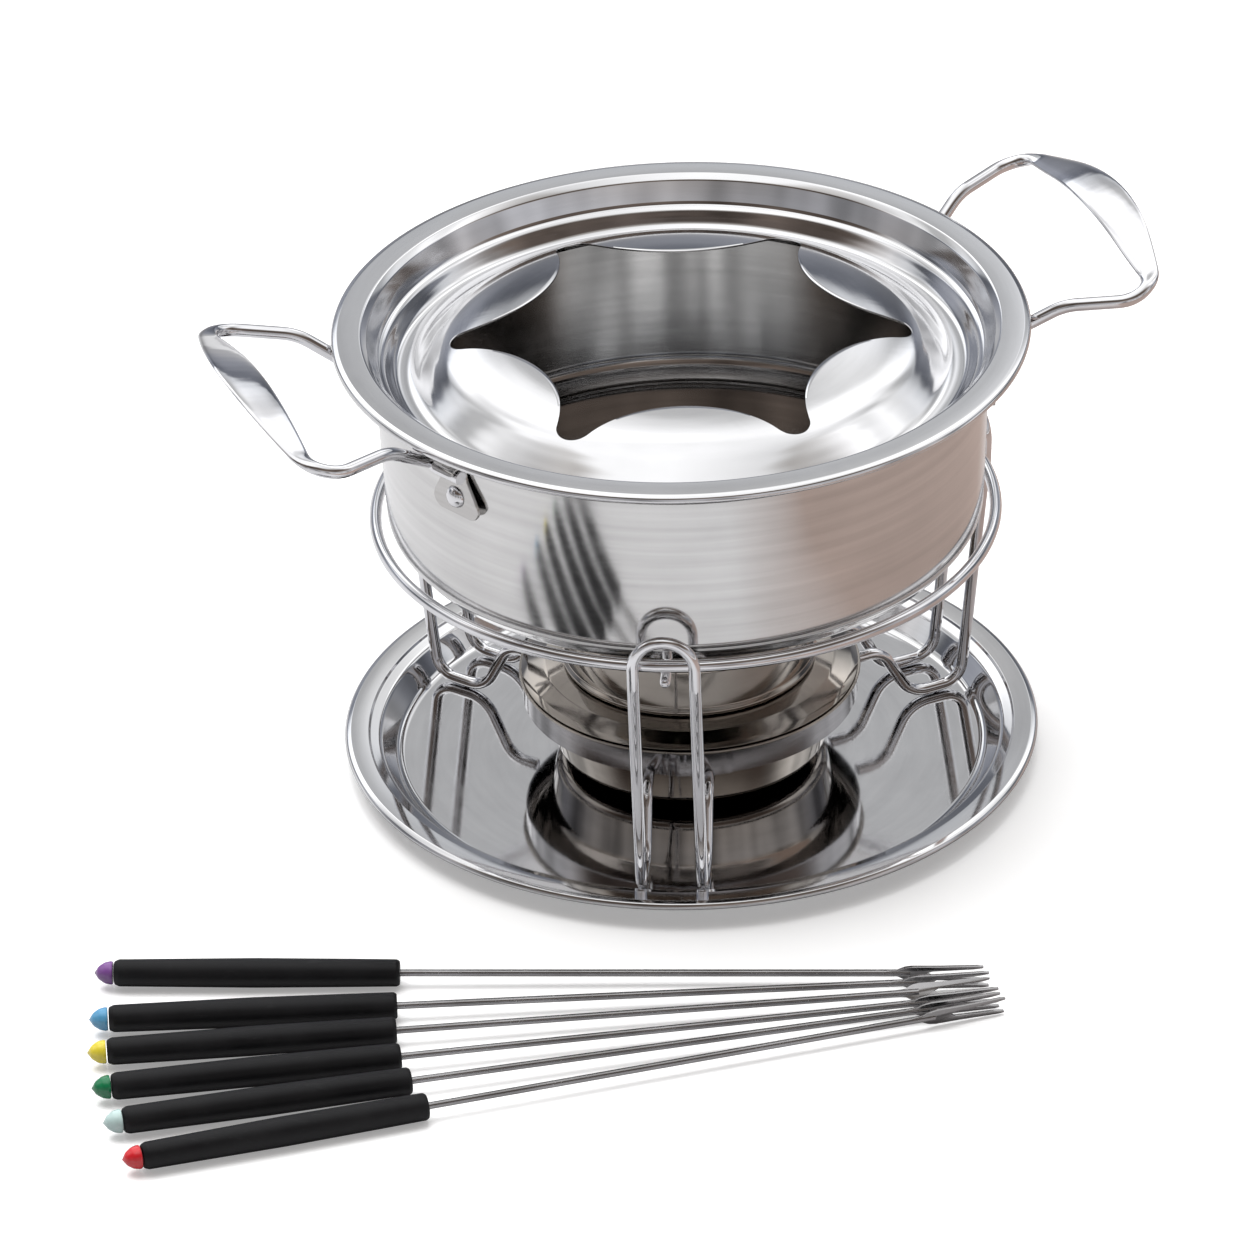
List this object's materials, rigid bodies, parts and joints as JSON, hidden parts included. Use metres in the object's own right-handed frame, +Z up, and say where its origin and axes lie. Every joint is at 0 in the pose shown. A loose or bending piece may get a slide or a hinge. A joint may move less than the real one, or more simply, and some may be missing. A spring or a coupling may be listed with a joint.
{
  "type": "fondue pot set",
  "caption": "Round steel fondue pot with star-opening splash guard and loop handles, on a wire stand over a spirit burner and a tray, with colour-capped forks beside it.",
  "frame": {"origin": "centre of the tray's underside, on the table", "axes": "+Z up, +Y away from the forks, +X towards the forks' tines and the right-hand handle"},
  "size_m": [0.303, 0.3162, 0.1523],
  "materials": {
    "polished_steel": "mirror polished stainless steel with fine wiping marks",
    "brushed_steel": "polished outside, turned and satin inside",
    "chromed_wire": "bright chromium plated wire",
    "satin_strip": "satin sheet with rolled lines and spot welds",
    "burner_steel": "spun and polished stainless steel",
    "burner_wadding": "off-white mineral wool",
    "burner_gauze": "woven wire gauze, slightly heat stained",
    "fork_steel": "polished stainless steel",
    "fork_grip": "moulded black, fine matte grain",
    "fork_cap_purple": "gloss purple",
    "fork_cap_light_blue": "gloss light blue",
    "fork_cap_yellow": "gloss yellow",
    "fork_cap_green": "gloss dark green",
    "fork_cap_pale": "gloss pale white-green",
    "fork_cap_red": "gloss red"
  },
  "bodies": {
    "tray": {"tray": "polished_steel"},
    "stand": {"stand_ring": "chromed_wire", "stand_leg_front": "chromed_wire", "stand_leg_right": "chromed_wire", "stand_leg_left": "chromed_wire", "pot_support_pin_front": "chromed_wire", "pot_support_pin_right": "chromed_wire", "pot_support_pin_left": "chromed_wire", "burner_band": "satin_strip"},
    "pot": {"pot": "brushed_steel", "handle_right": "chromed_wire", "handle_left": "chromed_wire", "handle_bracket_right_a": "satin_strip", "handle_bracket_right_b": "satin_strip", "handle_bracket_left_a": "satin_strip", "handle_bracket_left_b": "satin_strip", "handle_rivet_right_a": "chromed_wire", "handle_rivet_right_b": "chromed_wire", "handle_rivet_left_a": "chromed_wire", "handle_rivet_left_b": "chromed_wire"},
    "splash_guard": {"splash_guard_lid": "polished_steel"},
    "burner": {"burner_bowl": "burner_steel", "burner_collar": "burner_steel", "burner_wadding": "burner_wadding", "burner_gauze": "burner_gauze"},
    "regulator": {"burner_regulator_cap": "burner_steel", "burner_regulator_tab": "burner_steel"},
    "fork_1": {"fork_1_steel": "fork_steel", "fork_1_grip": "fork_grip", "fork_1_cap": "fork_cap_purple"},
    "fork_2": {"fork_2_steel": "fork_steel", "fork_2_grip": "fork_grip", "fork_2_cap": "fork_cap_light_blue"},
    "fork_3": {"fork_3_steel": "fork_steel", "fork_3_grip": "fork_grip", "fork_3_cap": "fork_cap_yellow"},
    "fork_4": {"fork_4_steel": "fork_steel", "fork_4_grip": "fork_grip", "fork_4_cap": "fork_cap_green"},
    "fork_5": {"fork_5_steel": "fork_steel", "fork_5_grip": "fork_grip", "fork_5_cap": "fork_cap_pale"},
    "fork_6": {"fork_6_steel": "fork_steel", "fork_6_grip": "fork_grip", "fork_6_cap": "fork_cap_red"}
  },
  "joints": [
    {"name": "stand_lift", "type": "slide", "parent": "tray", "child": "stand", "axis": [0, 0, 1], "range_m": [0, 0.04]},
    {"name": "pot_lift", "type": "slide", "parent": "stand", "child": "pot", "axis": [0, 0, 1], "range_m": [0, 0.06]},
    {"name": "splash_guard_lift", "type": "slide", "parent": "pot", "child": "splash_guard", "axis": [0, 0, 1], "range_m": [0, 0.05]},
    {"name": "burner_lift", "type": "slide", "parent": "stand", "child": "burner", "axis": [0, 0, 1], "range_m": [0, 0.022]},
    {"name": "regulator_turn", "type": "hinge", "parent": "burner", "child": "regulator", "pos_m": [0, 0, 0.04], "axis": [0, 0, 1], "range_deg": [0, 60]},
    {"name": "fork_1_lift", "type": "slide", "parent": "tray", "child": "fork_1", "axis": [0, 0, 1], "range_m": [0, 0.05]},
    {"name": "fork_2_lift", "type": "slide", "parent": "tray", "child": "fork_2", "axis": [0, 0, 1], "range_m": [0, 0.05]},
    {"name": "fork_3_lift", "type": "slide", "parent": "tray", "child": "fork_3", "axis": [0, 0, 1], "range_m": [0, 0.05]},
    {"name": "fork_4_lift", "type": "slide", "parent": "tray", "child": "fork_4", "axis": [0, 0, 1], "range_m": [0, 0.05]},
    {"name": "fork_5_lift", "type": "slide", "parent": "tray", "child": "fork_5", "axis": [0, 0, 1], "range_m": [0, 0.05]},
    {"name": "fork_6_lift", "type": "slide", "parent": "tray", "child": "fork_6", "axis": [0, 0, 1], "range_m": [0, 0.05]}
  ]
}
